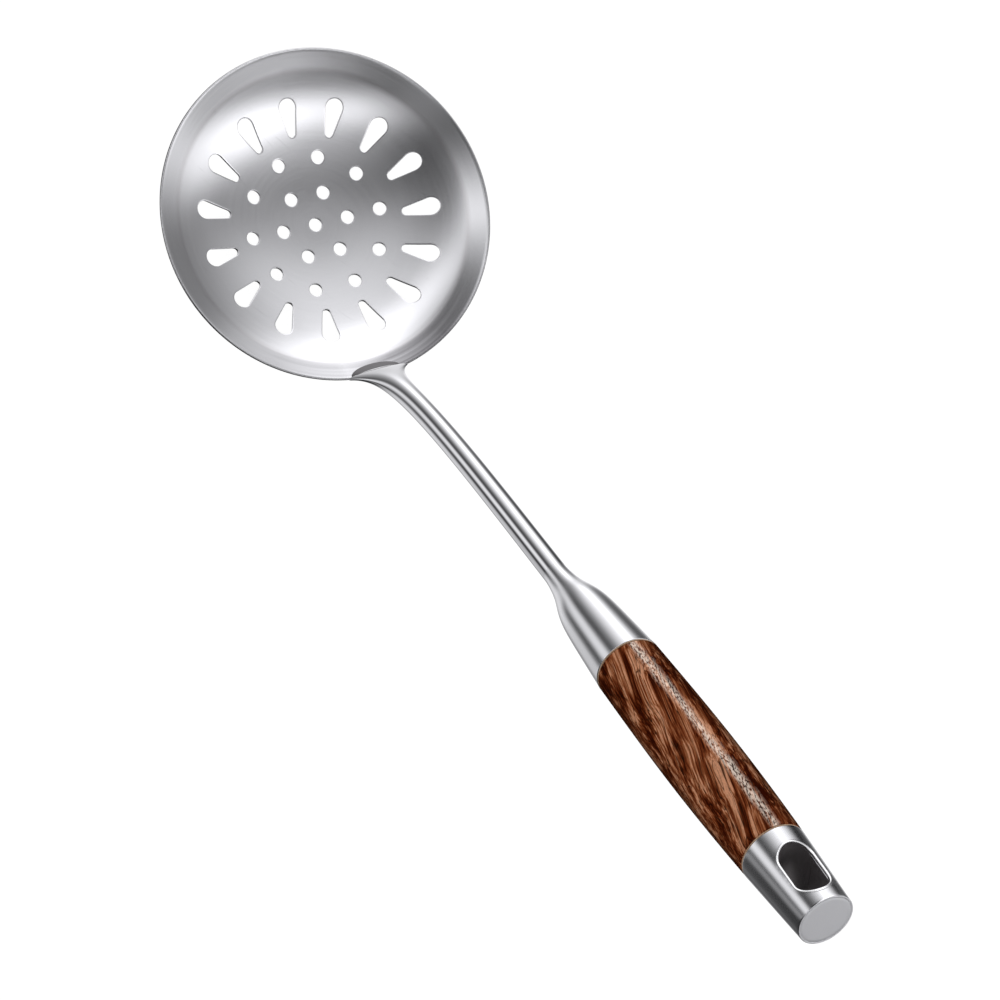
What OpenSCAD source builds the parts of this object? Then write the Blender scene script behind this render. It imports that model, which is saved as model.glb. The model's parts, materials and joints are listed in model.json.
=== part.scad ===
// Perforated skimmer ladle, bowl level, handle rising towards +X.
// The origin is the middle of the centre drain hole, on the underside of the bowl.

/* [Bowl] */
// Outer radius of the rim
bowl_r = 60; // [50:1:70]
// Height of the rim's outer edge above the bottom
bowl_depth = 18.3; // [15:0.1:22]
// Exponent of the dish curve: 2 is a parabola, more is flatter in the middle
bowl_curve = 2.48; // [2.2:0.02:2.8]
// Thickness of the pressed sheet
sheet_t = 1; // [0.8:0.1:1.2]
// Width of the straight band inside the rim
band_w = 7; // [5:0.5:9]

/* [Drain holes] */
// Radius of every round hole
hole_r = 2.4; // [2:0.1:2.6]
// Circle that the inner ring of holes lies on
inner_ring_r = 12.3; // [10:0.1:14]
// Number of holes in the inner ring
inner_ring_n = 6; // [4:1:6]
// Circle that the outer ring of holes lies on
outer_ring_r = 24.4; // [22:0.1:26]
// Number of holes in the outer ring
outer_ring_n = 10; // [6:1:12]
// Distance of a slot's inner tip from the centre
slot_from = 31.7; // [30:0.1:34]
// Distance of a slot's outer tip from the centre
slot_to = 44.9; // [42:0.1:47]
// Radius of a slot's narrow inner end
slot_in_r = 1.5; // [1.2:0.1:2]
// Radius of a slot's wide outer end
slot_out_r = 3.2; // [2.5:0.1:3.5]
// Number of slots
slot_n = 15; // [9:1:15]

/* [Neck] */
// Angle of the handle above the rim plane
lift = 46.7; // [40:0.2:52]
// Length of the bar's centre line, from the rim to the bolster
neck_len = 139.3; // [120:0.1:160]
// Radius of the round bar
bar_r = 3.95; // [3.5:0.05:4.5]
// Extra steepness that the bar has gained where it meets the rim, in degrees
neck_bend = 16.3; // [10:0.1:20]
// Further steepness in the first few millimetres above the rim, in degrees
root_kick = 10; // [4:0.5:14]
// How much wider than the bar each side of the root is
root_flare = 7.2; // [5:0.1:9]
// Distance over which the root narrows to the bar
flare_len = 9.2; // [8:0.1:13]
// How far the root's lip reaches into the bowl
lip_len = 1.2; // [1:0.1:1.6]
// Half the width of that lip
lip_half_w = 9.4; // [8.8:0.1:10]
// How far the weld inside the bowl reaches inwards from the lip
weld_reach = 2.4; // [1.6:0.1:3]
// Height of that weld against the lip
weld_h = 1.9; // [1.2:0.1:2.2]
// Radius of the spigot that enters the bolster
spigot_r = 2.9; // [2.4:0.1:3.2]
// Length of the spigot
spigot_len = 12; // [8:1:14]

/* [Bolster] */
// Length of the bolster
bolster_len = 49; // [44:1:54]
// Radius of the bolster at the grip
bolster_r = 10.6; // [10:0.1:11.2]
// Wall of the bolster and of the cap
shell_t = 1.2; // [1:0.1:1.5]

/* [Grip] */
// Length from the bolster's mouth to the cap's mouth, with both sealing rings
grip_len = 85.4; // [80:0.1:95]
// Radius of the grip at its fattest place
belly_r = 11.15; // [10.9:0.05:12]
// Thickness of each sealing ring
seal_t = 0.5; // [0.4:0.1:0.8]
// Radius of the threaded rod
rod_r = 2.45; // [2:0.05:2.6]

/* [Cap] */
// Length of the cap
cap_len = 27.5; // [27:0.5:32]
// Radius of the cap at the grip
cap_r = 10.05; // [9.8:0.05:10.4]
// Radius of the cap at its closed end
cap_end_r = 8.4; // [8.2:0.05:9]
// Middle of the hanging slot, from the cap's mouth
slot_at = 14.9; // [14.5:0.1:15.1]
// Half the width of the hanging slot
slot_half_w = 4.95; // [4:0.05:5]
// Length of the slot's straight sides
slot_straight = 7.6; // [6:0.1:7.6]
// Wall of the slot's liner
liner_t = 0.65; // [0.5:0.05:0.8]

/* [Hidden] */
$fn = 96;

// Bowl
dish_step = 3;
band_from = bowl_r - band_w;
function dish_under(r) = bowl_depth * pow(r / bowl_r, bowl_curve);
band_slope = (bowl_depth - dish_under(band_from)) / band_w;
function dish_slope(r) = bowl_depth * bowl_curve / bowl_r * pow(r / bowl_r, bowl_curve - 1);
function dish_over(r) = dish_under(r) + sheet_t * sqrt(1 + pow(dish_slope(r), 2));
rim_angle = atan(band_slope);
rim_top = [bowl_r - sheet_t * sin(rim_angle), bowl_depth + sheet_t * cos(rim_angle)];
// Height of the bowl's upper face, with the straight band
function upper_face(r) =
    r < band_from
    ? dish_over(r)
    : dish_over(band_from) + (rim_top[1] - dish_over(band_from))
        * min(1, (r - band_from) / (rim_top[0] - band_from));

// Neck: the bar's centre line climbs from just above the rim to the bolster in short straight steps
neck_steps = 44;
neck_step = neck_len / neck_steps;
bend_power = 2.84;
kick_len = 5;
function steepness(i) =
    lift + neck_bend * pow(1 - i / neck_steps, bend_power) + root_kick * exp(-i * neck_step / kick_len);
neck_line = [
    for (
        i = 0, p = [bowl_r - 0.96, rim_top[1] + 1.5];
        i <= neck_steps;
        p = p + neck_step * [cos(steepness(i + 0.5)), sin(steepness(i + 0.5))], i = i + 1
    ) [p[0], p[1], steepness(i)]
];
root = neck_line[0];
neck_end = neck_line[neck_steps];
joint_x = neck_end[0] + bolster_len * cos(lift);
joint_z = neck_end[1] + bolster_len * sin(lift);
function bar_half_w(from_rim) = bar_r + root_flare * exp(-from_rim / flare_len);
root_half_w = bar_half_w(0);
root_half_t = bar_r * bar_r / root_half_w;
lip_steps = 6;
ring_n = 28;
contact_gap = 0.02;

// Handle
plug_t = 5;
washer_t = 1;
plug_fit = 0.05;
grip_bore_r = 2.8;
seal_bore_r = 4;
rod_from = -plug_t - 3.5;
rod_to = grip_len + plug_t - 0.4;
edge_round = 0.45;
end_plate_t = 1.2;
end_plate_lip = 0.6;
steel = [0.78, 0.78, 0.8];
dark_steel = [0.5, 0.5, 0.53];
matt_steel = [0.68, 0.68, 0.7];
wood = [0.36, 0.17, 0.08];
cork = [0.76, 0.6, 0.42];

// Puts children on the handle's axis: their Z runs along it and their -X faces up
module on_handle(along = 0) {
    translate([joint_x, 0, joint_z])
        rotate([0, 90 - lift, 0])
            translate([0, 0, along])
                children();
}

// A slot with a narrow round inner end, a wide round outer end and straight sides
module teardrop_cut(height) {
    near = slot_from + slot_in_r;
    far = slot_to - slot_out_r;
    lean = asin((slot_out_r - slot_in_r) / (far - near));
    wide_arc = 90 + lean;
    narrow_arc = 90 - lean;
    linear_extrude(height = height)
        polygon([
            for (i = [-4.5 : 4.5])
                [far + slot_out_r * cos(i * wide_arc / 4.5), slot_out_r * sin(i * wide_arc / 4.5)],
            for (i = [-2.5 : 2.5])
                let (a = 180 + i * narrow_arc / 2.5)
                [near + slot_in_r * cos(a), slot_in_r * sin(a)],
        ]);
}

module bowl() {
    steps = floor(band_from / dish_step);
    radii = [for (i = [0 : steps]) i * band_from / steps];
    cut_h = bowl_depth + 4;
    color(steel)
        difference() {
            rotate_extrude()
                polygon([
                    for (r = radii) [r, dish_under(r)],
                    [bowl_r, bowl_depth],
                    rim_top,
                    for (i = [steps : -1 : 0]) [radii[i], dish_over(radii[i])],
                ]);
            translate([0, 0, -1]) {
                cylinder(r = hole_r, h = cut_h);
                for (i = [0 : inner_ring_n - 1])
                    rotate((i + 0.5) * 360 / inner_ring_n)
                        translate([inner_ring_r, 0, 0])
                            cylinder(r = hole_r, h = cut_h);
                for (i = [0 : outer_ring_n - 1])
                    rotate((i + 0.5) * 360 / outer_ring_n)
                        translate([outer_ring_r, 0, 0])
                            cylinder(r = hole_r, h = cut_h);
                for (i = [0 : slot_n - 1])
                    rotate((i + 0.5) * 360 / slot_n)
                        teardrop_cut(cut_h);
            }
        }
}

// One oval ring across the bar. Points over the bowl are lifted onto its upper face.
function bar_ring(x, z, angle, half_w, half_t) = [
    for (k = [0 : ring_n - 1])
        let (
            out = half_t * cos(k * 360 / ring_n),
            px = x - out * sin(angle),
            py = half_w * sin(k * 360 / ring_n),
            floor_z = upper_face(norm([px, py])) + contact_gap
        )
        [px, py, norm([px, py]) < bowl_r + 0.5 ? max(floor_z, z + out * cos(angle)) : z + out * cos(angle)]
];

function lip_ring(i) =
    let (
        t = i / lip_steps,
        x = root[0] - lip_len * sin(90 * t) * cos(rim_angle),
        half_w = max(0.4, lip_half_w * cos(90 * t)),
        half_t = root_half_t * max(0.25, cos(78 * t)),
        z = upper_face(x) + (root[1] - upper_face(root[0])) * (1 - sin(90 * t)) + half_t * t
    )
    bar_ring(x, z, rim_angle + (root[2] - rim_angle) * (1 - t), half_w, half_t);

module neck() {
    inward = spigot_len * [cos(lift), sin(lift)];
    rings = [
        for (i = [lip_steps : -1 : 1]) lip_ring(i),
        for (i = [0 : neck_steps])
            let (p = neck_line[i], half_w = bar_half_w(i * neck_step))
            bar_ring(p[0], p[1], p[2], half_w, bar_r * bar_r / half_w),
        bar_ring(neck_end[0], neck_end[1], lift, spigot_r, spigot_r),
        bar_ring(neck_end[0] + inward[0], neck_end[1] + inward[1], lift, spigot_r, spigot_r),
    ];
    last = len(rings) - 1;
    color(steel)
        polyhedron(
            points = [for (ring = rings) each ring],
            faces = [
                [for (k = [ring_n - 1 : -1 : 0]) k],
                for (i = [0 : last - 1])
                    for (k = [0 : ring_n - 1])
                        let (a = i * ring_n + k, b = i * ring_n + (k + 1) % ring_n)
                        each [[a, b, a + ring_n], [b, b + ring_n, a + ring_n]],
                [for (k = [0 : ring_n - 1]) last * ring_n + k],
            ]
        );
}

// A crescent of weld that fills the corner between the bowl's inside and the end of the lip
module lip_weld() {
    steps = 18;
    ends = 88;
    sections = [
        for (i = [0 : steps])
            let (
                a = ends * (2 * i / steps - 1),
                lip = [bowl_r - 1.1 - (lip_len + 0.25) * cos(a), (lip_half_w - 0.8) * sin(a)],
                inner = [bowl_r - 1.5 - (lip_len - 0.1 + weld_reach) * cos(a), (lip_half_w - 0.1) * sin(a)],
                under = [bowl_r - 0.8 - lip_len * cos(a), (lip_half_w - 1.2) * sin(a)],
                height = 0.25 + (weld_h - 0.25) * pow(cos(a), 0.7)
            )
            [
                [inner, 0.02],
                [0.62 * inner + 0.38 * lip, 0.27 * height],
                [0.28 * inner + 0.72 * lip, 0.62 * height],
                [lip, height],
                [under, 0.02],
            ]
    ];
    color(dark_steel)
        polyhedron(
            points = [
                for (section = sections)
                    for (p = section)
                        [p[0][0], p[0][1], upper_face(norm(p[0])) + contact_gap + p[1]]
            ],
            faces = [
                [4, 3, 2, 1, 0],
                for (i = [0 : steps - 1])
                    for (k = [0 : 4])
                        let (a = 5 * i + k, b = 5 * i + (k + 1) % 5)
                        each [[a, b, a + 5], [b, b + 5, a + 5]],
                [for (k = [0 : 4]) 5 * steps + k],
            ]
        );
}

// A bead that fills the corner between the rim's outside and the neck root
module root_weld() {
    half_angle = 8;
    bead = 1.1;
    color(dark_steel)
        rotate(-half_angle)
            rotate_extrude(angle = 2 * half_angle)
                polygon([
                    [bowl_r, bowl_depth],
                    [bowl_r - bead * cos(rim_angle), bowl_depth - bead * sin(rim_angle)],
                    [bowl_r - 0.2 * bead, bowl_depth - 0.75 * bead],
                    [bowl_r + 0.35 * bead, bowl_depth - 0.2 * bead],
                    [bowl_r + 0.45 * bead, bowl_depth + 0.5 * bead],
                    rim_top + [0.15, 0.12],
                ]);
}

// Outer radius of the bolster, from its thin end to its mouth
function bolster_at(t) =
    let (shoulder = 1 / (1 + exp(-(t - 0.28) * 15.5)), start = 1 / (1 + exp(0.28 * 15.5)))
    bar_r + 0.45 * (bolster_r - bar_r) * (shoulder - start) / (1 - start)
        + 0.55 * (bolster_r - bar_r) * pow(t, 0.95) * (1 - exp(-t / 0.08));

module bolster() {
    steps = 24;
    hollow_from = 8;
    socket_end = -bolster_len + spigot_len + 0.5;
    color(steel)
        on_handle()
            rotate_extrude()
                polygon([
                    [spigot_r + plug_fit, -bolster_len],
                    for (i = [0 : steps]) [bolster_at(i / steps), -bolster_len + bolster_len * i / steps],
                    [bolster_r - shell_t, 0],
                    [bolster_r - shell_t, -plug_t - washer_t],
                    for (i = [steps - 4 : -1 : hollow_from])
                        [bolster_at(i / steps) - shell_t - 0.2, -bolster_len + bolster_len * i / steps],
                    [spigot_r + plug_fit, socket_end],
                ]);
}

module threaded_disc(from, radius, thickness) {
    on_handle(from)
        difference() {
            cylinder(r = radius, h = thickness);
            translate([0, 0, -1])
                cylinder(r = rod_r + plug_fit, h = thickness + 2);
        }
}

module bolster_plug() {
    color(dark_steel)
        threaded_disc(-plug_t, bolster_r - shell_t - plug_fit, plug_t);
}

module lock_washer() {
    washer_r = rod_r + 1.9;
    color(dark_steel)
        on_handle(-plug_t - washer_t)
            difference() {
                cylinder(r = washer_r, h = washer_t);
                translate([0, 0, -1])
                    cylinder(r = rod_r + 2 * plug_fit, h = washer_t + 2);
                translate([0, -0.4, -1])
                    cube([washer_r + 1, 0.8, washer_t + 2]);
            }
}

module tang_rod() {
    color(dark_steel)
        on_handle(rod_from)
            cylinder(r = rod_r, h = rod_to - rod_from);
}

module seal(from, radius) {
    color(cork)
        on_handle(from)
            difference() {
                cylinder(r = radius, h = seal_t);
                translate([0, 0, -1])
                    cylinder(r = seal_bore_r, h = seal_t + 2);
            }
}

module front_seal() {
    seal(0, bolster_r - 0.1);
}

module rear_seal() {
    seal(grip_len - seal_t, cap_r - 0.1);
}

// Outer radius of the grip: a gentle belly between the two end radii
function grip_at(t) =
    bolster_r + (cap_r - bolster_r) * t
        + (belly_r - (bolster_r + cap_r) / 2) * pow(sin(180 * pow(t, 1.1)), 0.9);

module grip() {
    from = seal_t;
    to = grip_len - seal_t;
    steps = 22;
    color(wood)
        on_handle()
            difference() {
                rotate_extrude()
                    polygon([
                        [0, from],
                        [bolster_r - edge_round, from],
                        for (a = [30 : 30 : 60])
                            [bolster_r - edge_round * (1 - sin(a)), from + edge_round * (1 - cos(a))],
                        for (i = [0 : steps])
                            [
                                grip_at(i / steps),
                                from + edge_round + (to - from - 2 * edge_round) * i / steps
                            ],
                        for (a = [60 : -30 : 30])
                            [cap_r - edge_round * (1 - sin(a)), to - edge_round * (1 - cos(a))],
                        [cap_r - edge_round, to],
                        [0, to],
                    ]);
                translate([0, 0, from - 1])
                    cylinder(r = grip_bore_r, h = to - from + 2);
            }
}

// Outer radius of the cap: an almost straight taper
function cap_at(t) = cap_end_r + (cap_r - cap_end_r) * pow(1 - t, 0.95);

module cap_profile(inset, from, to) {
    steps = 10;
    rotate_extrude()
        polygon([
            [0, from],
            for (i = [0 : steps])
                let (along = from + (to - from) * i / steps)
                [cap_at(along / cap_len) - inset, along],
            [0, to],
        ]);
}

module slot_prism(radius) {
    reach = 2 * cap_r + 10;
    translate([-reach / 2, 0, slot_at])
        rotate([0, 90, 0]) {
            for (side = [-1, 1])
                translate([side * slot_straight / 2, 0, 0])
                    cylinder(r = radius, h = reach);
            translate([-slot_straight / 2, -radius, 0])
                cube([slot_straight, 2 * radius, reach]);
        }
}

module end_cap() {
    color(steel)
        on_handle(grip_len)
            difference() {
                cap_profile(0, 0, cap_len);
                cap_profile(shell_t, -0.01, cap_len - end_plate_t);
                translate([0, 0, cap_len - end_plate_t - 0.5])
                    cylinder(r = cap_end_r - end_plate_lip, h = end_plate_t + 1);
                slot_prism(slot_half_w + liner_t);
            }
}

module cap_plug() {
    color(dark_steel)
        threaded_disc(grip_len, cap_at(plug_t / cap_len) - shell_t - plug_fit, plug_t);
}

module slot_liner() {
    color(steel)
        on_handle(grip_len)
            difference() {
                intersection() {
                    cap_profile(0, 0, cap_len);
                    slot_prism(slot_half_w + liner_t);
                }
                slot_prism(slot_half_w);
            }
}

module end_plate() {
    color(matt_steel)
        on_handle(grip_len + cap_len - end_plate_t)
            cylinder(r = cap_end_r - end_plate_lip, h = end_plate_t);
}

bowl();
neck();
lip_weld();
root_weld();
bolster();
bolster_plug();
lock_washer();
tang_rod();
front_seal();
grip();
rear_seal();
end_cap();
cap_plug();
slot_liner();
end_plate();
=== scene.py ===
"""Perforated skimmer ladle: visible meshes, materials, light and camera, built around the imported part.

Lengths in the code are millimetres until mesh_piece() turns them into metres.
"""
import json
import math

import bmesh
import bpy
import numpy as np
from mathutils import Matrix, Vector
from mathutils.geometry import delaunay_2d_cdt


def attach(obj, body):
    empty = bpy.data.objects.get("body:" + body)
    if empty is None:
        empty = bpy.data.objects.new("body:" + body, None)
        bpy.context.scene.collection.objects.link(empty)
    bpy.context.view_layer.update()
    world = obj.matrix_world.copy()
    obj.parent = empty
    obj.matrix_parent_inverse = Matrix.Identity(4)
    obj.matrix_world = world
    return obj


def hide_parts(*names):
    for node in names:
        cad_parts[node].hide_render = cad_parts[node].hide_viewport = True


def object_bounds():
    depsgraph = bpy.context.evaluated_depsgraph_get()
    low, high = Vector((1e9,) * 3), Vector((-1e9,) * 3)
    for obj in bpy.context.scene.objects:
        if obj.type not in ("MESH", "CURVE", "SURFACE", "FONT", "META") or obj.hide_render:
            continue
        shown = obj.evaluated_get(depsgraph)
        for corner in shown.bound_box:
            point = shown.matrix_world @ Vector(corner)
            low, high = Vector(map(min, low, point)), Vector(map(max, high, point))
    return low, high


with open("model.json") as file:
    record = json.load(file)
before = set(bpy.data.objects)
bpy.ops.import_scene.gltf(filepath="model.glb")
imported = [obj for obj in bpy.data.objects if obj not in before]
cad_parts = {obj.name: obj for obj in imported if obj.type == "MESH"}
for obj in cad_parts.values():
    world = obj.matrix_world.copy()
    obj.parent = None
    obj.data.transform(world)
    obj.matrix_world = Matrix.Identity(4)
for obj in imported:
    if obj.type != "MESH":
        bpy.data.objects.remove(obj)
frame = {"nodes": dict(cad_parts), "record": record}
cad_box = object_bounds()

MM = 0.001

# Bowl, as in the part's source
BOWL_R = 60.0
BOWL_DEPTH = 18.3
BOWL_CURVE = 2.48
SHEET_T = 1.0
BAND_W = 7.0
HOLE_R = 2.4
# Each ring of round holes: its radius, and how many holes
HOLE_RINGS = [(0.0, 1), (12.3, 6), (24.4, 10)]
SLOT_N = 15
SLOT_FROM = 31.7
SLOT_TO = 44.9
SLOT_IN_R = 1.5
SLOT_OUT_R = 3.2

# Neck: the bend and the kick are the degrees by which it is steeper at its root than at the handle
BAR_R = 3.95
NECK_LEN = 139.3
NECK_BEND = 16.3
BEND_POWER = 2.84
ROOT_KICK = 10.0
KICK_LEN = 5.0
ROOT_IN = 0.96
ROOT_ABOVE = 1.5
SEAT_GAP = 0.02
ROOT_FLARE = 7.2
FLARE_LEN = 9.2
LIP_LEN = 1.2
LIP_HALF_W = 9.4
WELD_REACH = 2.4
WELD_H = 1.9
SPIGOT_R = 2.9
SPIGOT_LEN = 12.0

# Handle: places along its axis are counted from the bolster's mouth
BOLSTER_LEN = 49.0
BOLSTER_R = 10.6
SHOULDER_AT = 0.28
SHOULDER_STEEP = 15.5
SHOULDER_SHARE = 0.45
SHELL_T = 1.2
GRIP_LEN = 85.4
BELLY_R = 11.15
SEAL_T = 0.5
CAP_LEN = 27.5
CAP_R = 10.05
CAP_END_R = 8.4
END_PLATE_T = 1.2
END_PLATE_R = 7.8
SLOT_AT = 14.9
SLOT_HALF_W = 4.95
SLOT_STRAIGHT = 7.6
LINER_T = 0.65
LIP_W = 0.78

mounts = {m["name"]: m for m in frame["record"]["mounts"]}
ALONG = Vector(mounts["end_face"]["axis"]).normalized()
SIDE = Vector((0.0, 1.0, 0.0))
UP = ALONG.cross(SIDE)
LIFT = math.degrees(math.asin(ALONG.z))
JOINT = Vector(mounts["end_face"]["pos_m"]) / MM - (GRIP_LEN + CAP_LEN) * ALONG


# ---------------------------------------------------------------- meshes

def mesh_piece(name, points, faces, sharp_deg=40.0):
    """A mesh object from points in millimetres, smooth except at edges sharper than the angle.

    Every face is turned to look outwards.
    """
    mesh = bpy.data.meshes.new(name)
    mesh.from_pydata([tuple(c * MM for c in p) for p in points], [], faces)
    mesh.validate()
    shell = bmesh.new()
    shell.from_mesh(mesh)
    bmesh.ops.recalc_face_normals(shell, faces=shell.faces)
    shell.to_mesh(mesh)
    shell.free()
    mesh.shade_smooth()
    mesh.set_sharp_from_angle(angle=math.radians(sharp_deg))
    piece = bpy.data.objects.new(name, mesh)
    bpy.context.scene.collection.objects.link(piece)
    return piece


def ring_faces(rings, count, closed_rows=False):
    """Quads between rows of ring points. closed_rows joins the last row to the first."""
    faces = []
    rows = rings if closed_rows else rings - 1
    for i in range(rows):
        a = i * count
        b = ((i + 1) % rings) * count
        for k in range(count):
            n = (k + 1) % count
            faces.append((a + k, a + n, b + n, b + k))
    return faces


def drop_unused(points, faces):
    """The points that some face uses, and the faces renumbered to them."""
    used = sorted({i for face in faces for i in face})
    renumber = {old: new for new, old in enumerate(used)}
    return [points[i] for i in used], [tuple(renumber[i] for i in face) for face in faces]


def on_handle(radius, turn, along):
    """The point at a radius, an angle from the upper side in radians, and a distance along the handle."""
    return JOINT + ALONG * along + UP * (radius * math.cos(turn)) + SIDE * (radius * math.sin(turn))


def lathe(name, profile, segments=160, sharp_deg=40.0):
    """Turns a closed outline of (radius, along) points about the handle's axis."""
    turns = [2 * math.pi * k / segments for k in range(segments)]
    points = [on_handle(radius, turn, along) for radius, along in profile for turn in turns]
    return mesh_piece(name, points, ring_faces(len(profile), segments, closed_rows=True), sharp_deg)


def arc(centre_r, centre_s, radius, start, end, steps=5):
    """Points of (radius, along) on an arc, with angles in degrees from the outward direction."""
    angles = [math.radians(start + (end - start) * i / steps) for i in range(steps + 1)]
    return [(centre_r + radius * math.cos(a), centre_s + radius * math.sin(a)) for a in angles]


def inside(outline, xs, ys):
    """Which of the points lie inside a closed outline."""
    result = np.zeros(len(xs), bool)
    ox, oy = np.array(outline).T
    px, py = np.roll(ox, 1), np.roll(oy, 1)
    for x0, y0, x1, y1 in zip(px, py, ox, oy):
        crosses = (y0 > ys) != (y1 > ys)
        if crosses.any():
            at = x0 + (ys - y0) / (y1 - y0 if y1 != y0 else 1e-12) * (x1 - x0)
            result ^= crosses & (xs < at)
    return result


def fill_flat(border, holes, middle):
    """Triangles inside a border and outside its holes, using the points in the middle too.

    Gives the points, the triangles, and for each loop the numbers of its points.
    """
    flat = []
    edges = []
    spans = []
    for loop in [border] + holes:
        start = len(flat)
        spans.append(range(start, start + len(loop)))
        flat += loop
        edges += [(start + k, start + (k + 1) % len(loop)) for k in range(len(loop))]
    flat += middle
    verts, _, tris, origin, _, _ = delaunay_2d_cdt([Vector(p) for p in flat], edges, [], 0, 1e-6)
    centres = np.array([sum((verts[i] for i in t), Vector((0, 0))) / 3 for t in tris])
    drop = np.zeros(len(tris), bool)
    for loop in holes:
        drop |= inside(loop, centres[:, 0], centres[:, 1])
    where = {old: new for new, olds in enumerate(origin) for old in olds}
    kept = [tuple(t) for t, gone in zip(tris, drop) if not gone]
    return verts, kept, [[where[i] for i in span] for span in spans]


# Bowl ----------------------------------------------------------

def dish_slope(r):
    """Slope of the dish's curve at a distance from its middle."""
    return BOWL_DEPTH * BOWL_CURVE / BOWL_R * (r / BOWL_R) ** (BOWL_CURVE - 1)


# The dish's curve meets the straight rim band over a soft crease
CREASE_HALF_W = 0.8
band_from = BOWL_R - BAND_W
band_slope = (BOWL_DEPTH - BOWL_DEPTH * (band_from / BOWL_R) ** BOWL_CURVE) / BAND_W
slope_r = np.linspace(0.0, BOWL_R + 2, 1241)
crease = np.clip((slope_r - band_from + CREASE_HALF_W) / (2 * CREASE_HALF_W), 0, 1)
crease = crease * crease * (3 - 2 * crease)
slope_table = dish_slope(slope_r) * (1 - crease) + band_slope * crease
rises = (slope_table[1:] + slope_table[:-1]) / 2 * np.diff(slope_r)
height_table = np.concatenate([[0], np.cumsum(rises)])
height_table *= BOWL_DEPTH / np.interp(BOWL_R, slope_r, height_table)


def sheet_point(x, y, lift):
    """A point of the bowl: x, y on its underside, moved out along the surface normal by lift."""
    r = math.hypot(x, y)
    slope = float(np.interp(r, slope_r, slope_table))
    z = float(np.interp(r, slope_r, height_table))
    scale = lift / math.sqrt(1 + slope * slope)
    if r < 1e-9:
        return (x, y, z + lift)
    return (x - x / r * slope * scale, y - y / r * slope * scale, z + scale)


def upper_face(r):
    """Height of the bowl's upper face."""
    slope = float(np.interp(r, slope_r, slope_table))
    return float(np.interp(r, slope_r, height_table)) + SHEET_T * math.sqrt(1 + slope * slope)


def wall_shift(r):
    """How far a hole's middle sits outside its place on the underside, so that its wall is centred."""
    slope = float(np.interp(r, slope_r, slope_table))
    return 0.5 * SHEET_T * slope / math.sqrt(1 + slope * slope)


def round_outline(centre_r, turn, grow, count=40):
    """A round hole grown by a margin."""
    cx = (centre_r + wall_shift(centre_r)) * math.cos(turn)
    cy = (centre_r + wall_shift(centre_r)) * math.sin(turn)
    angles = [2 * math.pi * k / count for k in range(count)]
    return [(cx + (HOLE_R + grow) * math.cos(a), cy + (HOLE_R + grow) * math.sin(a)) for a in angles]


def between(start, end, count):
    """The points that cut a straight line into equal steps, without its ends."""
    shares = [i / count for i in range(1, count)]
    return [(start[0] + (end[0] - start[0]) * t, start[1] + (end[1] - start[1]) * t) for t in shares]


def slot_outline(turn, grow, arc_n=22, side_n=14):
    """A teardrop: wide round outer end, narrow round inner end, straight sides."""
    shift = wall_shift((SLOT_FROM + SLOT_TO) / 2)
    near = SLOT_FROM + SLOT_IN_R + shift
    far = SLOT_TO - SLOT_OUT_R + shift
    lean = math.asin((SLOT_OUT_R - SLOT_IN_R) / (far - near))
    wide = math.pi / 2 + lean
    narrow = math.pi / 2 - lean
    ro, ri = SLOT_OUT_R + grow, SLOT_IN_R + grow
    outline = []
    for i in range(arc_n + 1):
        a = -wide + 2 * wide * i / arc_n
        outline.append((far + ro * math.cos(a), ro * math.sin(a)))
    top = (near + ri * math.cos(wide), ri * math.sin(wide))
    outline += between(outline[-1], top, side_n)
    for i in range(arc_n // 2 + 1):
        a = math.pi - narrow + 2 * narrow * i / (arc_n // 2)
        outline.append((near + ri * math.cos(a), ri * math.sin(a)))
    outline += between(outline[-1], outline[0], side_n)
    c, s = math.cos(turn), math.sin(turn)
    return [(c * x - s * y, s * x + c * y) for x, y in outline]


def hole_makers():
    """For each hole, a function that gives its outline grown by a margin."""
    makers = []
    for radius, count in HOLE_RINGS:
        for i in range(count):
            turn = 2 * math.pi * (i + 0.5) / count
            makers.append(lambda grow, radius=radius, turn=turn: round_outline(radius, turn, grow))
    for i in range(SLOT_N):
        turn = 2 * math.pi * (i + 0.5) / SLOT_N
        makers.append(lambda grow, turn=turn: slot_outline(turn, grow))
    return makers


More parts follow.
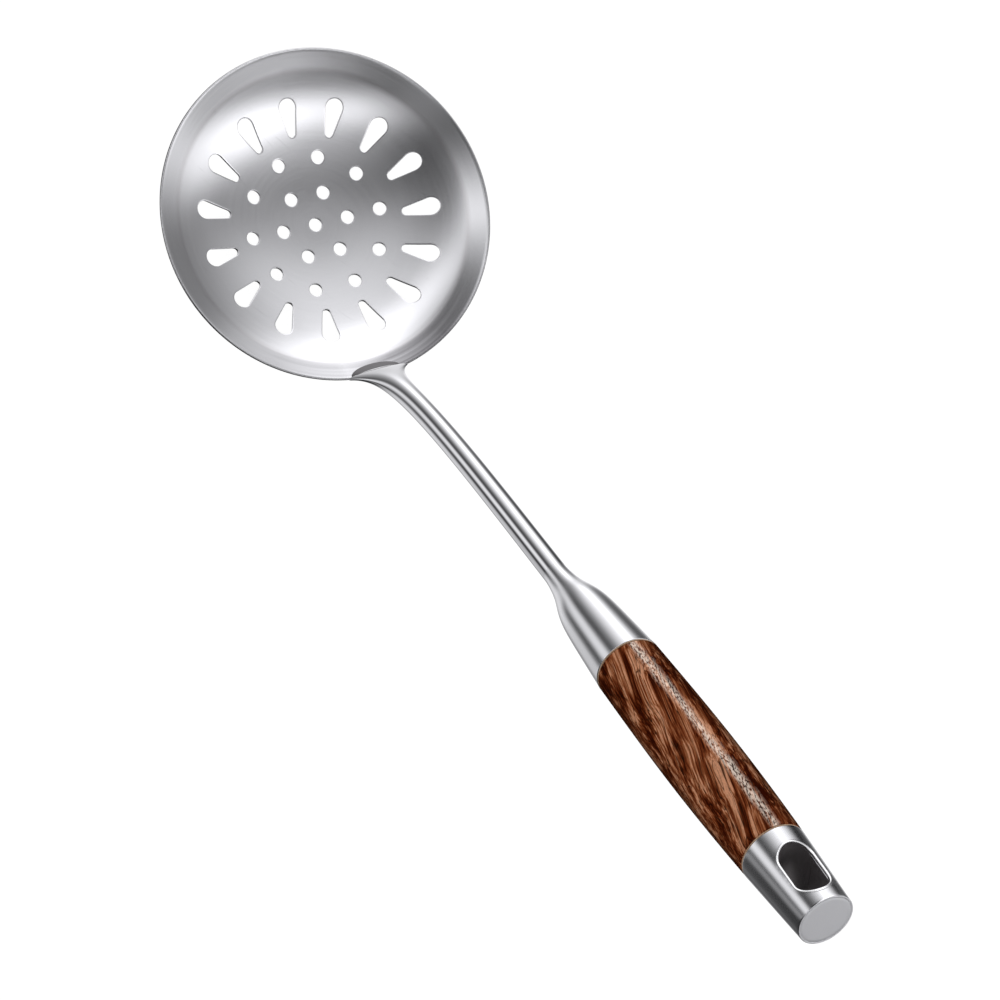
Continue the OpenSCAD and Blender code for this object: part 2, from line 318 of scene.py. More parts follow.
def make_bowl():
    """A pressed sheet: one triangulation shared by both faces, and rounded walls round every hole."""
    edge = 0.16
    rim_round = 0.42
    spacing = 1.15
    clear_w = 1.25
    near_w, far_w = 0.35, 0.8
    makers = hole_makers()
    rim_n = 300
    rim_r = BOWL_R - rim_round
    rim_turns = [2 * math.pi * k / rim_n for k in range(rim_n)]
    outer = [(rim_r * math.cos(a), rim_r * math.sin(a)) for a in rim_turns]
    fill = []
    radius = spacing / 2
    row = 0
    while radius < rim_r - spacing * 0.6:
        count = max(6, round(2 * math.pi * radius / spacing))
        for k in range(count):
            a = 2 * math.pi * (k + 0.5 * (row % 2)) / count
            fill.append((radius * math.cos(a), radius * math.sin(a)))
        radius += spacing * 0.92
        row += 1
    fill = np.array(fill)
    keep = np.ones(len(fill), bool)
    halo = []
    for maker in makers:
        keep &= ~inside(maker(edge + clear_w), fill[:, 0], fill[:, 1])
        halo += maker(edge + near_w)
        halo += maker(edge + far_w)[::2]
    middle = halo + [tuple(p) for p in fill[keep]]
    verts, tris, loops = fill_flat(outer, [maker(edge) for maker in makers], middle)
    count = len(verts)
    points = [sheet_point(v.x, v.y, SHEET_T) for v in verts]
    points += [sheet_point(v.x, v.y, 0.0) for v in verts]
    faces = tris + [tuple(count + i for i in reversed(t)) for t in tris]

    def wall(above, outline_at, steps, outward):
        """Rows from the upper face over the rounded edge down to the underside."""
        n = len(above)
        rows = [above]
        for grow, lift in steps:
            base = len(points)
            points.extend(sheet_point(x, y, lift) for x, y in outline_at(grow))
            rows.append(list(range(base, base + n)))
        rows.append([count + i for i in above])
        for a, b in zip(rows, rows[1:]):
            for k in range(n):
                m = (k + 1) % n
                quad = (a[k], b[k], b[m], a[m])
                faces.append(quad if outward else quad[::-1])

    turns = [math.radians(a) for a in (30, 60, 90)]
    hole_steps = [(edge * (1 - math.sin(a)), SHEET_T - edge * (1 - math.cos(a))) for a in turns]
    hole_steps += [(edge * (1 - math.sin(a)), edge * (1 - math.cos(a))) for a in reversed(turns)]
    for loop, maker in zip(loops[1:], makers):
        wall(loop, maker, hole_steps, outward=False)
    turns = [math.radians(a) for a in (20, 40, 60, 80)]
    rim_steps = [(rim_round * math.sin(a), SHEET_T - rim_round * (1 - math.cos(a))) for a in turns]
    rim_steps += [(rim_round * math.sin(a), rim_round * (1 - math.cos(a))) for a in reversed(turns)]

    def rim_outline(grow):
        scale = (rim_r + grow) / rim_r
        return [(x * scale, y * scale) for x, y in outer]

    wall(loops[0], rim_outline, rim_steps, outward=True)
    return mesh_piece("bowl_sheet", *drop_unused(points, faces), sharp_deg=50)


# Neck ----------------------------------------------------------

LIP_TIP_SHARE = 0.25
RIM_ANGLE = math.degrees(math.atan(band_slope))
RIM_TOP_Z = BOWL_DEPTH + SHEET_T * math.cos(math.radians(RIM_ANGLE))


def neck_line(steps):
    """Centre line of the bar from the rim to the bolster: (x, z, steepness in degrees) per step."""
    def steepness(share):
        bend = NECK_BEND * max(0.0, 1 - share) ** BEND_POWER
        return LIFT + bend + ROOT_KICK * math.exp(-share * NECK_LEN / KICK_LEN)

    x, z = BOWL_R - ROOT_IN, RIM_TOP_Z + ROOT_ABOVE
    rows = []
    for i in range(steps + 1):
        rows.append((x, z, steepness(i / steps)))
        a = math.radians(steepness((i + 0.5) / steps))
        x += NECK_LEN / steps * math.cos(a)
        z += NECK_LEN / steps * math.sin(a)
    return rows


def bar_ring(x, z, angle, half_w, half_t, count):
    """One oval ring across the bar. Points over the bowl are lifted onto its upper face."""
    ring = []
    a = math.radians(angle)
    for k in range(count):
        turn = 2 * math.pi * k / count
        out = half_t * math.cos(turn)
        px = x - out * math.sin(a)
        py = half_w * math.sin(turn)
        pz = z + out * math.cos(a)
        r = math.hypot(px, py)
        if r < BOWL_R + 0.5:
            pz = max(pz, upper_face(min(r, BOWL_R)) + SEAT_GAP)
        ring.append((px, py, pz))
    return ring


def make_neck():
    """The bent bar: rows of the lip over the rim, rows along the bar, and the spigot in the bolster."""
    count = 72
    steps = 176
    lip_steps = 22
    line = neck_line(steps)
    root = line[0]
    # A hammered section keeps the bar's area
    root_half_t = BAR_R * BAR_R / (BAR_R + ROOT_FLARE)
    rings = []
    for i in range(lip_steps, 0, -1):
        t = i / lip_steps
        reach = math.sin(math.pi / 2 * t)
        x = root[0] - LIP_LEN * reach * math.cos(math.radians(RIM_ANGLE))
        half_w = max(0.3, LIP_HALF_W * math.cos(math.pi / 2 * t))
        half_t = root_half_t * max(LIP_TIP_SHARE, math.cos(math.radians(78 * t)))
        z = upper_face(x) + (root[1] - upper_face(root[0])) * (1 - reach) + half_t * t
        rings.append(bar_ring(x, z, RIM_ANGLE + (root[2] - RIM_ANGLE) * (1 - t), half_w, half_t, count))
    for i, (x, z, angle) in enumerate(line):
        half_w = BAR_R + ROOT_FLARE * math.exp(-i * NECK_LEN / steps / FLARE_LEN)
        rings.append(bar_ring(x, z, angle, half_w, BAR_R * BAR_R / half_w, count))
    x, z, angle = line[-1]
    rings.append(bar_ring(x, z, angle, SPIGOT_R, SPIGOT_R, count))
    x += SPIGOT_LEN * math.cos(math.radians(LIFT))
    z += SPIGOT_LEN * math.sin(math.radians(LIFT))
    rings.append(bar_ring(x, z, angle, SPIGOT_R, SPIGOT_R, count))
    faces = [f[::-1] for f in ring_faces(len(rings), count)]
    last = (len(rings) - 1) * count
    faces.append(tuple(range(count)))
    faces.append(tuple(last + k for k in reversed(range(count))))
    return mesh_piece("neck_bar", [p for ring in rings for p in ring], faces, sharp_deg=55)


# Handle --------------------------------------------------------

def bolster_at(t):
    """Outer radius at a share of the bolster's length: a soft shoulder on a nearly straight cone."""
    shoulder = 1 / (1 + math.exp(-(t - SHOULDER_AT) * SHOULDER_STEEP))
    start = 1 / (1 + math.exp(SHOULDER_AT * SHOULDER_STEEP))
    rise = (shoulder - start) / (1 - start)
    cone = t ** 0.95 * (1 - math.exp(-t / 0.08))
    return BAR_R + (BOLSTER_R - BAR_R) * (SHOULDER_SHARE * rise + (1 - SHOULDER_SHARE) * cone)


def make_bolster():
    """A hollow turned cone, open towards the grip, with a socket for the bar's spigot."""
    steps = 90
    corner = 0.25
    spare = 0.2
    seat_depth = 6.0
    socket_r = SPIGOT_R + 0.05

    def along(i):
        return -BOLSTER_LEN + BOLSTER_LEN * i / steps

    outside = [(bolster_at(i / steps), along(i)) for i in range(steps) if along(i) < -corner]
    hollow = [(bolster_at(i / steps) - SHELL_T - spare, along(i)) for i in range(steps - 13, 30, -1)]
    profile = [(socket_r, -BOLSTER_LEN)] + outside
    profile += arc(BOLSTER_R - corner, -corner, corner, 0, 90)
    profile += [(BOLSTER_R - SHELL_T, 0.0), (BOLSTER_R - SHELL_T, -seat_depth)] + hollow
    profile += [(socket_r, -BOLSTER_LEN + SPIGOT_LEN + 0.5)]
    return lathe("bolster_shell", profile)


def grip_at(t):
    """Outer radius at a share of the grip's length: a cone with a belly on it."""
    mean = (BOLSTER_R + CAP_R) / 2
    belly = math.sin(math.pi * min(1.0, max(0.0, t)) ** 1.1) ** 0.9
    return BOLSTER_R + (CAP_R - BOLSTER_R) * t + (BELLY_R - mean) * belly


def make_grip():
    """The wood with its two rounded ends and the bore for the rod."""
    steps = 150
    start, end = SEAL_T, GRIP_LEN - SEAL_T
    corner = 0.45
    bore_r = 2.8
    length = end - start - 2 * corner
    profile = [(bore_r, start)] + arc(BOLSTER_R - corner, start + corner, corner, -90, -15)
    profile += [(grip_at(i / steps), start + corner + length * i / steps) for i in range(steps + 1)]
    profile += arc(CAP_R - corner, end - corner, corner, 15, 90) + [(bore_r, end)]
    return lathe("grip_wood", profile, segments=200)


def make_seal(name, start, radius):
    """A thin flat ring with rounded edges."""
    corner = 0.15
    bore_r = 4.0
    end = start + SEAL_T
    profile = [(bore_r, start)] + arc(radius - corner, start + corner, corner, -90, 0, 3)
    profile += arc(radius - corner, end - corner, corner, 0, 90, 3) + [(bore_r, end)]
    return lathe(name, profile)


def cap_at(along):
    """Outer radius of the cap at a distance from its mouth."""
    return CAP_END_R + (CAP_R - CAP_END_R) * max(0.0, 1 - along / CAP_LEN) ** 0.95


def stadium(radius, arc_n=40, side_n=14):
    """Outline of the hanging slot grown to a radius: (along from its middle, sideways)."""
    half = SLOT_STRAIGHT / 2
    outline = []
    for end, first in ((1, -math.pi / 2), (-1, math.pi / 2)):
        for i in range(arc_n):
            a = first + math.pi * i / arc_n
            outline.append((end * half + radius * math.cos(a), radius * math.sin(a)))
        for i in range(side_n):
            outline.append((end * half - end * SLOT_STRAIGHT * i / side_n, end * radius))
    return outline


def make_cap():
    """A tapered sleeve with a window on each side, triangulated unrolled and then wrapped round."""
    unroll = 9.3
    grown = SLOT_HALF_W + LINER_T
    corner = 0.3
    bead = 0.12
    disc_edge = 0.04
    disc_seat = 1.8
    low, high = corner, CAP_LEN - 0.5
    width = 2 * math.pi * unroll
    left, right = -width / 4, width * 3 / 4
    rows = 30
    columns = 84

    def window(side):
        loop = []
        for p, y in stadium(grown):
            turn = math.asin(y / cap_at(SLOT_AT + p))
            loop.append(((turn if side > 0 else math.pi - turn) * unroll, SLOT_AT + p))
        return loop

    border = [(left + width * k / columns, low) for k in range(columns)]
    border += [(right, low + (high - low) * k / rows) for k in range(rows)]
    border += [(right - width * k / columns, high) for k in range(columns)]
    border += [(left, high - (high - low) * k / rows) for k in range(rows)]
    windows = [window(1), window(-1)]
    grid = np.array([
        (left + width * (c + 0.5 * (r % 2)) / columns, low + (high - low) * r / rows)
        for r in range(1, rows) for c in range(1, columns)
    ])
    keep = np.ones(len(grid), bool)
    for loop in windows:
        cx, cy = np.mean(loop, axis=0)
        swollen = [(cx + (x - cx) * 1.08, cy + (y - cy) * 1.05) for x, y in loop]
        keep &= ~inside(swollen, grid[:, 0], grid[:, 1])
    verts, tris, loops = fill_flat(border, windows, [tuple(p) for p in grid[keep]])
    around = loops[0]
    # The seam's two sides are one line on the sleeve
    right_side = around[columns:columns + rows + 1]
    left_side = [around[(2 * columns + 2 * rows - k) % len(around)] for k in range(rows + 1)]
    seam = dict(zip(right_side, left_side))
    count = len(verts)
    points = []
    for depth in (0.0, SHELL_T):
        points += [on_handle(cap_at(v.y) - depth, v.x / unroll, GRIP_LEN + v.y) for v in verts]
    outer = [tuple(seam.get(i, i) for i in t) for t in tris]
    faces = outer + [tuple(count + i for i in reversed(t)) for t in outer]
    for ids in loops[1:]:
        for a, b in zip(ids, ids[1:] + ids[:1]):
            faces.append((a, b, count + b, count + a))
    turns = [(left + width * k / columns) / unroll for k in range(columns)]

    def close_end(ids, profile):
        """Rows from the outer skin round an end of the sleeve to its inner skin."""
        rows_of = [ids]
        for radius, along in profile:
            base = len(points)
            points.extend(on_handle(radius, turn, GRIP_LEN + along) for turn in turns)
            rows_of.append(list(range(base, base + columns)))
        rows_of.append([count + i for i in ids])
        for a, b in zip(rows_of, rows_of[1:]):
            for k in range(columns):
                n = (k + 1) % columns
                faces.append((a[k], a[n], b[n], b[k]))

    mouth = around[:columns]
    end = [around[columns + rows + (columns - k) % columns] for k in range(columns)]
    end = [seam.get(i, i) for i in end]
    close_end(mouth, arc(CAP_R - corner, corner, corner, -20, -90, 4) + [(CAP_R - SHELL_T, 0.0)])
    tip = arc(cap_at(CAP_LEN) - bead, CAP_LEN - bead, bead, 10, 90, 3)
    tip += arc(END_PLATE_R + disc_edge, CAP_LEN - disc_edge, disc_edge, 90, 180, 2)
    close_end(end, tip + [(END_PLATE_R, CAP_LEN - disc_seat)])
    return mesh_piece("cap_shell", *drop_unused(points, faces), sharp_deg=45)


def make_liner():
    """The slot's stadium-shaped sleeve: a polished lip on both sides and a dull wall between."""
    inner, outer = SLOT_HALF_W, SLOT_HALF_W + LINER_T
    proud = 0.16

    def skin(p, y):
        r = cap_at(SLOT_AT + p)
        return math.sqrt(max(0.0, r * r - y * y))

    # The lip: growth from the slot's edge, and height over the skin at the lip's outer edge
    lip = [
        (outer - inner, -0.4),
        (LIP_W, -0.3),
        (LIP_W, proud * 0.6),
        (LIP_W - 0.08, proud),
        (0.12, proud),
        (0.03, proud - 0.06),
        (0.0, proud - 0.2),
        (0.0, proud - 0.6),
    ]
    section = [(1, grow, lift) for grow, lift in lip]
    section += [(0, 0.0, 0.5), (0, 0.0, 0.0), (0, 0.0, -0.5)]
    section += [(-1, grow, lift) for grow, lift in reversed(lip)]
    section += [(0, outer - inner, -0.5), (0, outer - inner, 0.5)]
    count = len(stadium(inner))
    lip_edge = stadium(inner + LIP_W)
    points = []
    for side, grow, lift in section:
        for (p, y), (edge_p, edge_y) in zip(stadium(inner + grow), lip_edge):
            top = skin(edge_p, edge_y)
            height = side * (top + lift) if side else lift * (top - SHELL_T)
            points.append(JOINT + ALONG * (GRIP_LEN + SLOT_AT + p) + SIDE * y + UP * height)
    faces = ring_faces(len(section), count, closed_rows=True)
    return mesh_piece("slot_sleeve", points, faces, sharp_deg=50)


def make_end_plate():
    """The flat disc that closes the cap."""
    corner = 0.04
    middle_r = 0.01
    face_rings = 8
    face = GRIP_LEN + CAP_LEN
    back = GRIP_LEN + CAP_LEN - END_PLATE_T
    radius = END_PLATE_R - 0.02
    profile = [(middle_r, back), (radius, back)] + arc(radius - corner, face - corner, corner, 0, 90, 4)
    profile += [(radius * (1 - i / face_rings), face) for i in range(1, face_rings)]
    profile += [(middle_r, face)]
    return lathe("end_disc", profile, sharp_deg=50)


def make_lip_weld():
    """The crescent of weld between the bowl's inside and the lip, with faint ripples; its near-black steel
    is painted shade at the lip's nose.
    """
    steps = 120
    share = [0.0, 0.12, 0.28, 0.46, 0.64, 0.82, 1.0]
    end_h = 0.25
    ripple = 0.015

    def oval(a, edge_gap, reach, side_gap):
        """A point on the lip's outline, moved in from the rim and from the lip's ends."""
        return (BOWL_R - edge_gap - reach * math.cos(a), (LIP_HALF_W - side_gap) * math.sin(a))

    points = []
    for i in range(steps + 1):
        a = math.radians(88 * (2 * i / steps - 1))
        lip = oval(a, 1.1, LIP_LEN + 0.25, 0.8)
        inner = oval(a, 1.5, LIP_LEN - 0.1 + WELD_REACH, 0.1)
        under = oval(a, 0.8, LIP_LEN, 1.2)
        height = end_h + (WELD_H - end_h) * math.cos(a) ** 0.7
        height *= 1 + ripple * math.sin(i * 1.3)
        for s in share:
            x, y = (p * (1 - s) + q * s for p, q in zip(inner, lip))
            z = upper_face(min(math.hypot(x, y), BOWL_R)) + SEAT_GAP
            points.append((x, y, z + height * (0.75 * s + 0.25 * s * s)))
        points.append((*under, upper_face(min(math.hypot(*under), BOWL_R)) + 2 * SEAT_GAP))
    ring_n = len(share) + 1
    faces = [f[::-1] for f in ring_faces(steps + 1, ring_n)]
    faces.append(tuple(range(ring_n)))
    faces.append(tuple(steps * ring_n + k for k in reversed(range(ring_n))))
    return mesh_piece("lip_fillet", points, faces, sharp_deg=50)


def make_weld():
    """A bead of small overlapping ripples under the neck root, on the outside of the rim."""
    half_angle = math.radians(8)
    rows = 96
    ring_n = 14
    bead_r = 0.42
    ripple_n = 17
    points = []
    for i in range(rows):
        t = i / (rows - 1)
        turn = -half_angle + 2 * half_angle * t
        size = bead_r * min(1.0, 6 * t, 6 * (1 - t)) ** 0.5 + 0.02
        size *= 1 + 0.12 * abs(math.sin(math.pi * t * ripple_n))
        for k in range(ring_n):
            a = 2 * math.pi * k / ring_n
            r = BOWL_R - 0.05 + size * math.cos(a)
            z = BOWL_DEPTH - 0.2 + size * math.sin(a)
            points.append((r * math.cos(turn), r * math.sin(turn), z))
    faces = ring_faces(rows, ring_n)
    faces.append(tuple(reversed(range(ring_n))))
    faces.append(tuple((rows - 1) * ring_n + k for k in range(ring_n)))
    return mesh_piece("weld_bead", points, faces, sharp_deg=60)


# ---------------------------------------------------------------- materials

def put(tree, kind, inputs=None, **settings):
    """Adds a node, sets its properties, and fills its inputs with values or links."""
    node = tree.nodes.new(kind)
    for key, value in settings.items():
        setattr(node, key, value)
    for key, value in (inputs or {}).items():
        if isinstance(value, bpy.types.NodeSocket):
            tree.links.new(value, node.inputs[key])
        else:
            node.inputs[key].default_value = value
    return node


def calc(tree, operation, a, b=0.0, c=0.0, clamp=False):
    """One step of arithmetic."""
    return put(tree, "ShaderNodeMath", {0: a, 1: b, 2: c}, operation=operation, use_clamp=clamp).outputs[0]


def vector_calc(tree, operation, a, b):
    """One step of vector arithmetic that gives a vector."""
    return put(tree, "ShaderNodeVectorMath", {0: a, 1: b}, operation=operation).outputs[0]


def measure(tree, operation, a, b=(0.0, 0.0, 0.0)):
    """One step of vector arithmetic that gives a number, such as a length or a dot product."""
    return put(tree, "ShaderNodeVectorMath", {0: a, 1: tuple(b)}, operation=operation).outputs["Value"]


def mix(tree, share, plain, other):
    """One colour turned into another by a share."""
    return put(tree, "ShaderNodeMix", {0: share, 6: plain, 7: (*other, 1.0)}, data_type="RGBA").outputs[2]


def bump(tree, strength, distance, height):
    inputs = {"Strength": strength, "Distance": distance, "Height": height}
    return put(tree, "ShaderNodeBump", inputs).outputs[0]


def finish_surface(tree, output, **inputs):
    """Ends a material with a principled shader. Input names have _ for a space."""
    named = {name.replace("_", " "): value for name, value in inputs.items()}
    shader = put(tree, "ShaderNodeBsdfPrincipled", named)
    tree.links.new(shader.outputs[0], output.inputs[0])


def new_material(name):
    material = bpy.data.materials.new(name)
    material.use_nodes = True
    tree = material.node_tree
    tree.nodes.clear()
    output = put(tree, "ShaderNodeOutputMaterial")
    return material, tree, output


def object_mm(tree):
    """The surface point in millimetres in the row's frame."""
    place = put(tree, "ShaderNodeTexCoord").outputs["Object"]
    return put(tree, "ShaderNodeVectorMath", {0: place, "Scale": 1 / MM}, operation="SCALE").outputs[0]


def in_axes(tree, place, x_axis, y_axis, z_axis, stretch=(1.0, 1.0, 1.0)):
    """The point seen in other axes, each stretched by a factor."""
    axes = zip((x_axis, y_axis, z_axis), stretch)
    parts = [measure(tree, "DOT_PRODUCT", place, axis * factor) for axis, factor in axes]
    return put(tree, "ShaderNodeCombineXYZ", {0: parts[0], 1: parts[1], 2: parts[2]}).outputs[0]


def noise(tree, vector, scale, detail=3.0, roughness=0.5, distortion=0.0):
    inputs = {"Vector": vector, "Scale": scale, "Detail": detail}
    inputs |= {"Roughness": roughness, "Distortion": distortion}
    return put(tree, "ShaderNodeTexNoise", inputs).outputs[0]


def remap(tree, value, from_low, from_high, to_low, to_high):
    """Moves one range of values to another, and stays inside it."""
    limits = {0: value, 1: from_low, 2: from_high, 3: to_low, 4: to_high}
    return put(tree, "ShaderNodeMapRange", limits, clamp=True).outputs[0]


def ramp(tree, value, stops):
    """A colour that follows a value through stops of (value, colour)."""
    node = put(tree, "ShaderNodeValToRGB", {0: value})
    elements = node.color_ramp.elements
    while len(elements) < len(stops):
        elements.new(0.5)
    for element, (place, colour) in zip(elements, stops):
        element.position = place
        element.color = (*colour, 1.0)
    return node.outputs[0]


def steel(name, base, roughness, spread, grain, grain_axes, grain_bump=0.0):
    """Stainless steel: fine grain along one direction, and slow cloudy changes of polish."""
    material, tree, output = new_material(name)
    place = object_mm(tree)
    lines = noise(tree, in_axes(tree, place, *grain_axes, stretch=grain), 1.0, 4.0, 0.65)
    clouds = noise(tree, place, 0.08, 3.0, 0.5)
    mixed = calc(tree, "MULTIPLY_ADD", clouds, 0.5, calc(tree, "MULTIPLY", lines, 0.5))
    rough = remap(tree, mixed, 0.3, 0.7, roughness - spread, roughness + spread)
    tint = ramp(tree, mixed, [(0.25, tuple(c * 0.93 for c in base)), (0.75, base)])
    normal = bump(tree, grain_bump, 0.0002, lines)
    finish_surface(tree, output, Base_Color=tint, Metallic=1.0, Roughness=rough, Normal=normal)
    return material


def fade_between(tree, value, start, end, soft):
    """1 where the value lies between start and end, fading over a soft width at both sides."""
    rise = remap(tree, value, start - soft, start + soft, 0.0, 1.0)
    fall = remap(tree, value, end - soft, end + soft, 1.0, 0.0)
    return calc(tree, "MULTIPLY", rise, fall)


def dark_reflection_near_neck(tree, place):
    """A share of painted dark reflection round two points on the rim, at both sides of the neck, more on
    one of them.
    """
    near_neck = 0.0
    # Angle round the bowl, reach in mm, strength
    for angle, reach, strength in ((18, 42.0, 1.0), (-24, 30.0, 0.55)):
        turn = math.radians(angle)
        middle = (BOWL_R * math.cos(turn), BOWL_R * math.sin(turn), BOWL_DEPTH)
        distance = measure(tree, "DISTANCE", place, middle)
        near_neck = calc(tree, "MAXIMUM", remap(tree, distance, 12.0, reach, strength, 0.0), near_neck)
    return near_neck


def bowl_material():
    """Satin pressed sheet: rings from the polishing wheel, a few hairlines, painted shade along the crease,
    and painted dark reflection on the rim band by the neck.
    """
    material, tree, output = new_material("bowl_steel")
    place = object_mm(tree)
    parts = put(tree, "ShaderNodeSeparateXYZ", {0: place}).outputs
    flat = put(tree, "ShaderNodeCombineXYZ", {0: parts[0], 1: parts[1]}).outputs[0]
    radius = measure(tree, "LENGTH", flat)
    angle = calc(tree, "ARCTAN2", parts[1], parts[0])
    out_and_round = {0: calc(tree, "MULTIPLY", radius, 0.9), 1: calc(tree, "MULTIPLY", angle, 0.8)}
    ring_place = put(tree, "ShaderNodeCombineXYZ", out_and_round).outputs[0]
    rings = noise(tree, ring_place, 1.0, 3.0, 0.6)
    clouds = noise(tree, place, 0.05, 2.0, 0.5)
    polish = calc(tree, "MULTIPLY_ADD", rings, 0.5, calc(tree, "MULTIPLY", clouds, 0.5))
    rough = remap(tree, polish, 0.35, 0.65, 0.24, 0.27)
    scratch_axes = (Vector((0.8, 0.6, 0.0)), Vector((-0.6, 0.8, 0.0)), Vector((0.0, 0.0, 1.0)))
    scratch = noise(tree, in_axes(tree, place, *scratch_axes, stretch=(0.05, 1.4, 0.3)), 1.0, 2.0, 0.5, 0.4)
    hairline = remap(tree, scratch, 0.70, 0.73, 0.0, 1.0)
    # Painted shade: a thin darker line along the crease where the dish meets the rim band
    crease_shade_line = fade_between(tree, radius, band_from - 0.9, band_from + 0.3, 0.7)
    band = remap(tree, radius, band_from - 0.4, band_from + 0.4, 0.0, 1.0)
    darkening_patchiness = remap(tree, noise(tree, ring_place, 0.35, 3.0, 0.6), 0.35, 0.65, 0.5, 1.0)
    # Painted dark reflection: the rim band beside the neck is mixed towards dark grey, more on one side
    band_dark_reflection = calc(tree, "MULTIPLY", band, dark_reflection_near_neck(tree, place))
    dark_reflection_share = calc(tree, "MULTIPLY", band_dark_reflection, darkening_patchiness, clamp=True)
    plain = ramp(tree, rings, [(0.3, (0.745, 0.745, 0.765)), (0.7, (0.77, 0.77, 0.79))])
    crease_shade_share = calc(tree, "MULTIPLY", crease_shade_line, calc(tree, "MULTIPLY", darkening_patchiness, 0.30))
    wear_and_crease_shade = mix(tree, crease_shade_share, plain, (0.46, 0.42, 0.43))
    reflection_darkened = mix(tree, calc(tree, "MULTIPLY", dark_reflection_share, 0.95), wear_and_crease_shade, (0.19, 0.185, 0.195))
    scratched = mix(tree, calc(tree, "MULTIPLY", hairline, 0.22), reflection_darkened, (0.50, 0.50, 0.52))
    normal = bump(tree, 0.003, 0.0001, rings)
    finish_surface(tree, output, Base_Color=scratched, Metallic=1.0, Roughness=rough, Normal=normal)
    return material


def grain_place(tree, place):
    """The point seen along the wood's grain, which slants across the grip and wanders a little."""
    turn = math.radians(-30)
    slant = math.radians(14)
    flank = UP * math.sin(turn) - SIDE * math.cos(turn)
    grain = ALONG * math.cos(slant) + flank * math.sin(slant)
    deep = UP * math.cos(turn) + SIDE * math.sin(turn)
    axes = (deep.cross(grain), deep, grain)
    wander = noise(tree, in_axes(tree, place, *axes, stretch=(0.06, 0.06, 0.028)), 1.0, 2.0, 0.5)
    bend = calc(tree, "MULTIPLY", calc(tree, "SUBTRACT", wander, 0.5), 6.0)
    shift = put(tree, "ShaderNodeCombineXYZ", {0: bend, 1: bend}).outputs[0]
    return vector_calc(tree, "ADD", in_axes(tree, place, *axes), shift)


def angle_off_top(tree, place):
    """How far round the handle the point lies from a line along the upper side, in radians."""
    from_axis = vector_calc(tree, "SUBTRACT", place, tuple(JOINT))
    upward = measure(tree, "DOT_PRODUCT", from_axis, UP)
    sideways = measure(tree, "DOT_PRODUCT", from_axis, SIDE)
    angle = calc(tree, "ARCTAN2", sideways, upward)
    return calc(tree, "ABSOLUTE", calc(tree, "SUBTRACT", angle, 0.03))


def wood_material():
    """Oiled dark rosewood with open pores that break the shine; its colour also has painted shade that
    darkens towards the silhouette.
    """
    material, tree, output = new_material("rosewood")
    place = object_mm(tree)
    moved = grain_place(tree, place)

    def streaks(across_scale, along_scale, detail, roughness):
        stretch = (across_scale, across_scale, along_scale)
        return noise(tree, vector_calc(tree, "MULTIPLY", moved, stretch), 1.0, detail, roughness)

    broad = streaks(0.17, 0.010, 2.0, 0.5)
    figure = streaks(0.62, 0.012, 3.0, 0.55)
    fine = streaks(2.0, 0.022, 2.0, 0.6)
    veins = streaks(0.5, 0.012, 2.0, 0.5)
    pores = streaks(2.7, 0.6, 2.0, 0.65)
    # The weights add up to 6.2, so the noise's middle is moved back to 0.5
    tone = calc(tree, "MULTIPLY_ADD", broad, 2.0, -2.6)
    tone = calc(tree, "MULTIPLY_ADD", figure, 2.4, tone)
    tone = calc(tree, "MULTIPLY_ADD", fine, 1.8, tone)
    colour = ramp(tree, tone, [
        (0.05, (0.040, 0.0045, 0.0010)),
        (0.32, (0.130, 0.0240, 0.0060)),
        (0.50, (0.230, 0.0600, 0.0200)),
        (0.68, (0.380, 0.1350, 0.0560)),
        (0.95, (0.680, 0.3200, 0.1800)),
    ])
    off_vein = calc(tree, "ABSOLUTE", calc(tree, "SUBTRACT", veins, 0.5))
    vein_mask = remap(tree, off_vein, 0.005, 0.025, 0.85, 0.0)
    pore_mask = remap(tree, pores, 0.42, 0.52, 1.0, 0.0)
    # Painted shade: the base colour darkens towards the grip's silhouette, by the viewing angle
    facing = put(tree, "ShaderNodeLayerWeight", {"Blend": 0.5}).outputs["Facing"]
    painted_edge_shade = remap(tree, facing, 0.40, 0.85, 0.0, 0.85)
    darkness = calc(tree, "MAXIMUM", vein_mask, calc(tree, "MULTIPLY", pore_mask, 0.25))
    dark = mix(tree, darkness, colour, (0.012, 0.0035, 0.002))
    edge_shaded = mix(tree, painted_edge_shade, dark, (0.010, 0.0035, 0.002))
    height = calc(tree, "MULTIPLY_ADD", pore_mask, -1.0, calc(tree, "MULTIPLY", fine, 0.6))
    normal = bump(tree, 0.35, 0.0001, height)
    # Handling has polished a wavy line along the upper side; the rest is dull
    waves = calc(tree, "SUBTRACT", figure, 0.5)
    off_line = calc(tree, "MULTIPLY_ADD", waves, 0.25, angle_off_top(tree, place))
    wear_and_crease_shade = remap(tree, off_line, 0.05, 0.20, 1.0, 0.0)
    sheen = ramp(tree, wear_and_crease_shade, [(0.1, (1.0, 0.50, 0.26)), (0.8, (1.0, 0.84, 0.70))])
    gloss = calc(tree, "MULTIPLY", wear_and_crease_shade, remap(tree, pore_mask, 0.0, 1.0, 1.0, 0.02))
    finish_surface(
        tree, output, Base_Color=edge_shaded, Roughness=0.28, IOR=2.8, Specular_IOR_Level=gloss,
        Specular_Tint=sheen, Normal=normal)
    return material


def seal_material():
    """Pressed fibre with fine specks; its pale tan also paints the thin orange reflected line between the
    steel and the wood.
    """
    material, tree, output = new_material("fibre_seal")
    specks = noise(tree, object_mm(tree), 3.0, 4.0, 0.6)
    # Partly painted reflection: the ring's pale tan stands in for an orange line reflected where steel
    # meets wood
    tint = ramp(tree, specks, [(0.35, (0.30, 0.16, 0.08)), (0.65, (0.55, 0.37, 0.23))])
    normal = bump(tree, 0.2, 0.0001, specks)
    finish_surface(tree, output, Base_Color=tint, Roughness=0.55, Normal=normal)
    return material


